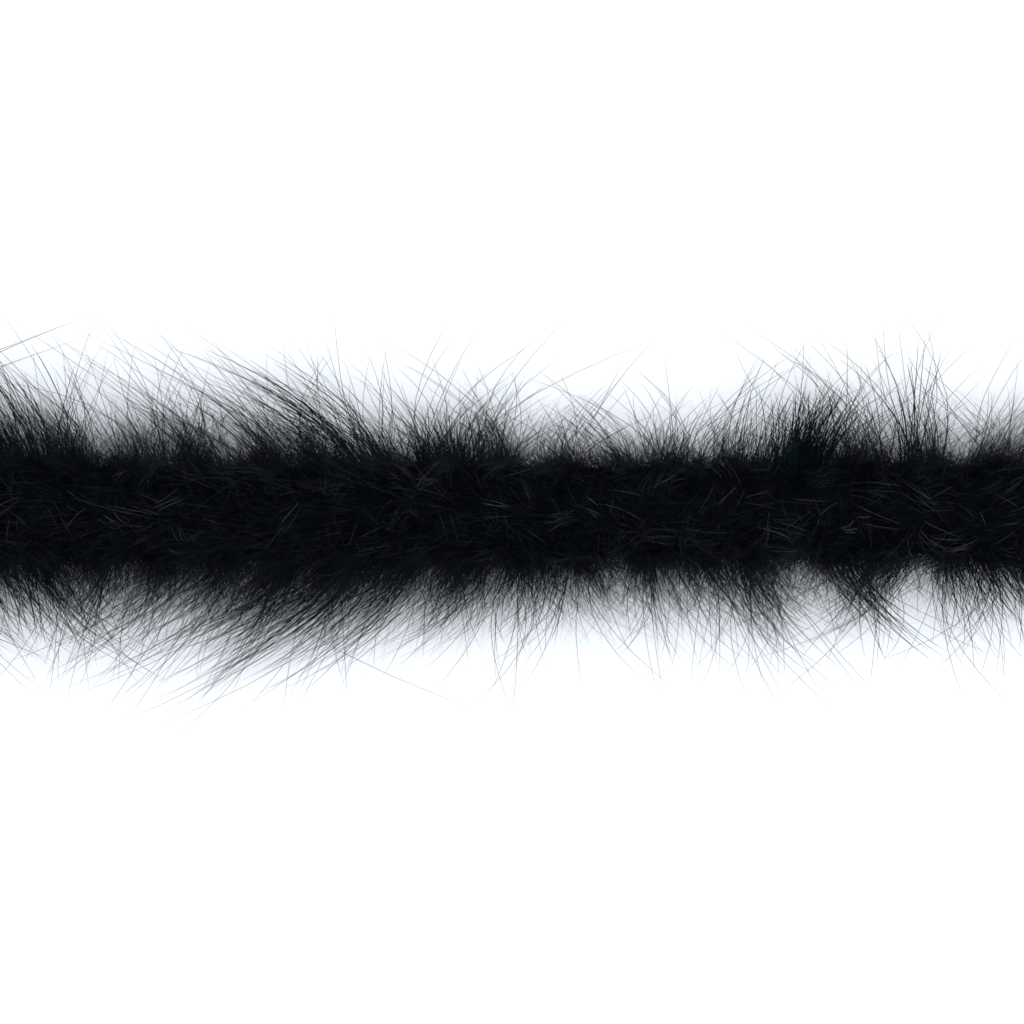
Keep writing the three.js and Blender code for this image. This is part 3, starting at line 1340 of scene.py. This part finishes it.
    def build_fray(self, finish: bpy.types.Material) -> bpy.types.Object:
        """Frays the cord's cut end into its yarns.

        Args:
            finish: The cord's material.

        Returns:
            The frayed end.
        """
        rng = np.random.default_rng(77 + self.side.value)
        yarns = 70
        share = np.linspace(0, 1, 5)
        angle = rng.uniform(0, 2 * math.pi, yarns)[:, None]
        root = self.cord_radius * 0.75 * np.sqrt(rng.random(yarns))[:, None]
        out = root + share**1.3 * rng.uniform(0.3, 3.2, yarns)[:, None] * MM
        along = 12.5 * MM + share * rng.uniform(0.6, 1.0, yarns)[:, None] * self.fray_length
        low = np.maximum(out * np.sin(angle), 0.3 * MM - self.points[-1].z)
        lines = np.stack([along, out * np.cos(angle), low], axis=-1)
        turned = np.array(self.knot_frame())
        lines = lines @ turned[:3, :3].T + turned[:3, 3]
        template = Template.make(4, 4, pointed=True)
        radii = np.repeat([[0.2, 0.17, 0.14, 0.11, 0.05]], yarns, axis=0) * MM
        places, faces = template.sweep(lines, radii)
        return new_piece(f"frayed_tip_{self.side.label}", places, faces, finish)

    def build(self, cord: bpy.types.Material, thread: bpy.types.Material, quill: bpy.types.Material) -> None:
        """Args:
            cord: The cord's material.
            thread: The whipping's material.
            quill: The quill butts' material.
        """
        label, body = self.side.label, f"{self.side.label}_run"
        tail = self.build_tail(cord)
        knot = self.build_knot(cord)
        fray = self.build_fray(cord)
        whipping = self.build_whipping(thread)
        quills = self.build_quills(quill)
        for piece, slot in (
            (tail, "core_cord"),
            (knot, "core_cord"),
            (fray, "core_cord"),
            (whipping, "binding_thread"),
            (quills, "down"),
        ):
            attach(piece, body)
            LOG.info("%s: %d triangles", piece.name, len(piece.data.polygons))
        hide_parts(f"tail_cord_{label}")
        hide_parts(f"tail_knot_{label}")
        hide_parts(f"end_whipping_{label}")


# ---------------------------------------------------------------- the whole boa


@dataclass
class Boa:
    """The whole boa: fifteen spans of down on their cord, and two ends."""

    lay: Lay
    run_end: float
    joints: Sequence[Mapping[str, Any]]
    combing: Combing = Combing()
    middle_sections: int = 6
    run_sections: int = 6
    # The middle run is seen from closest by, and its barbs are the finest.
    close_growth: tuple[Growth, ...] = (
        Growth(BarbKind.WISP, 2150, 17, 0.1 * MM, 7),
        Growth(BarbKind.FLUFF, 9200, 25, 0.047 * MM, 2),
        Growth(BarbKind.LYING, 5600, 9, 0.1 * MM, 4),
    )
    away_growth: tuple[Growth, ...] = (
        Growth(BarbKind.WISP, 1700, 10, 0.16 * MM, 4),
        Growth(BarbKind.FLUFF, 4200, 18, 0.11 * MM, 1),
        Growth(BarbKind.LYING, 3000, 7, 0.17 * MM, 2),
    )

    def build(self) -> None:
        """Builds every piece, and makes those of the rigid spans and the ends move with the frame."""
        down = DyedDown().material()
        matted = MattedDown().material()
        cord = TWISTED_CORD.material()
        thread = WAXED_THREAD.material()
        quill = DYED_QUILL.material()
        for number, span in enumerate(spans_of(self.lay, self.run_end, self.joints)):
            self.build_inside(span, matted, cord, thread)
            self.build_down(span, number, down)
        for side in Side:
            BoaEnd(side, self.lay, self.run_end).build(cord, thread, quill)

    def build_inside(
        self,
        span: Span,
        matted: bpy.types.Material,
        cord: bpy.types.Material,
        thread: bpy.types.Material,
    ) -> None:
        """Builds what lies inside a span's down.

        Args:
            span: The span.
            matted: The inner down's material.
            cord: The core cord's material.
            thread: The binding's material.
        """
        core = InnerCore(span, self.lay, self.run_end)
        strand, binding = core.build_cord(cord), core.build_binding(thread)
        inner = core.build_matted_down(matted)
        if span.stands_for:
            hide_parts(f"core_cord_{span.stands_for}")
            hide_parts(f"binding_{span.stands_for}")
        for piece, slot in ((strand, "core_cord"), (binding, "binding_thread"), (inner, "down")):
            span.attach(piece)
            LOG.info("%s: %d triangles", piece.name, len(piece.data.polygons))

    def build_down(self, span: Span, number: int, finish: bpy.types.Material) -> None:
        """Grows a span's down, in sections that each stand for a bundle of the frame.

        Args:
            span: The span.
            number: The span's place among the spans, for its random numbers.
            finish: The down's material.
        """
        middle = span.label == "middle"
        rigid = len(span.bodies) == 1
        sections = (self.middle_sections if middle else self.run_sections) if rigid else 1
        step = (span.end - span.start) / sections
        for i in range(sections):
            label = f"{span.label}_{i + 1}" if rigid else span.label
            section = DownSection(
                name=f"down_{label}",
                start=span.start + i * step,
                end=span.start + (i + 1) * step,
                growths=self.close_growth if middle else self.away_growth,
                combing=self.combing,
                boa_end=self.run_end,
                seed=100 * number + i,
            )
            piece = section.build(self.lay, finish)
            bundle = f"down_bundle_{span.stands_for}_{i + 1}" if rigid else f"down_bundle_{span.stands_for}"
            if span.stands_for:
                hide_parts(bundle)
            span.attach(piece)
            LOG.info("%s: %d triangles", piece.name, len(piece.data.polygons))


# ---------------------------------------------------------------- the studio


@dataclass
class Studio:
    """A wide white card under a soft overhead light, and a camera that looks straight down."""

    height: float
    view_width: float = 0.287
    lens: float = 100.0
    sensor: float = 36.0
    card_size: float = 12.0
    light_size: float = 1.1
    light_height: float = 1.5
    light_power: float = 20.0
    sky: str = "#f7f9fc"
    sky_strength: float = 0.7

    def build(self) -> None:
        """Builds the card, the lights and the camera."""
        self.build_card()
        self.build_lights()
        self.build_camera()

    def build_card(self) -> None:
        """Lays the card on the table."""
        mesh = bmesh.new()
        bmesh.ops.create_grid(mesh, x_segments=1, y_segments=1, size=self.card_size / 2)
        piece_of("card", mesh, PaleCard().material())

    def build_lights(self) -> None:
        """Hangs the softbox and sets the light of the room."""
        lamp = bpy.data.lights.new("softbox", "AREA")
        lamp.shape = "DISK"
        lamp.size = self.light_size
        lamp.energy = self.light_power
        lamp.color = linear(self.sky)[:3]
        holder = bpy.data.objects.new("softbox", lamp)
        place = Vector((0.08, 0.0, self.light_height))
        holder.location = place
        holder.rotation_euler = place.to_track_quat("Z", "Y").to_euler()
        bpy.context.scene.collection.objects.link(holder)
        world = bpy.data.worlds.new("room")
        world.use_nodes = True
        world.node_tree.nodes.clear()
        light = add_node(
            world,
            "ShaderNodeBackground",
            {"Color": linear(self.sky), "Strength": self.sky_strength},
        )
        add_node(world, "ShaderNodeOutputWorld", links={"Surface": light.outputs["Background"]})
        bpy.context.scene.world = world
        bpy.context.scene.view_settings.view_transform = "Standard"

    def build_camera(self) -> None:
        """Sets the camera over the middle of the boa, at the distance that its view's width asks for."""
        data = bpy.data.cameras.new("camera")
        data.lens = self.lens
        data.sensor_width = self.sensor
        camera = bpy.data.objects.new("camera", data)
        distance = self.view_width * self.lens / self.sensor
        camera.location = (0, 0, self.height + distance)
        bpy.context.scene.collection.objects.link(camera)
        bpy.context.scene.camera = camera


def main() -> None:
    """Builds the boa and the studio round the frame."""
    logging.basicConfig(level=logging.INFO, format="%(message)s")
    lay = Lay.from_joints(frame["joints"])
    cord_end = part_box("core_cord_right_run")[0].x
    run_end = lay.turn_end + lay.turn_start - cord_end
    Boa(lay, run_end, frame["joints"]).build()
    Studio(lay.height).build()


if __name__ == "__main__":
    main()
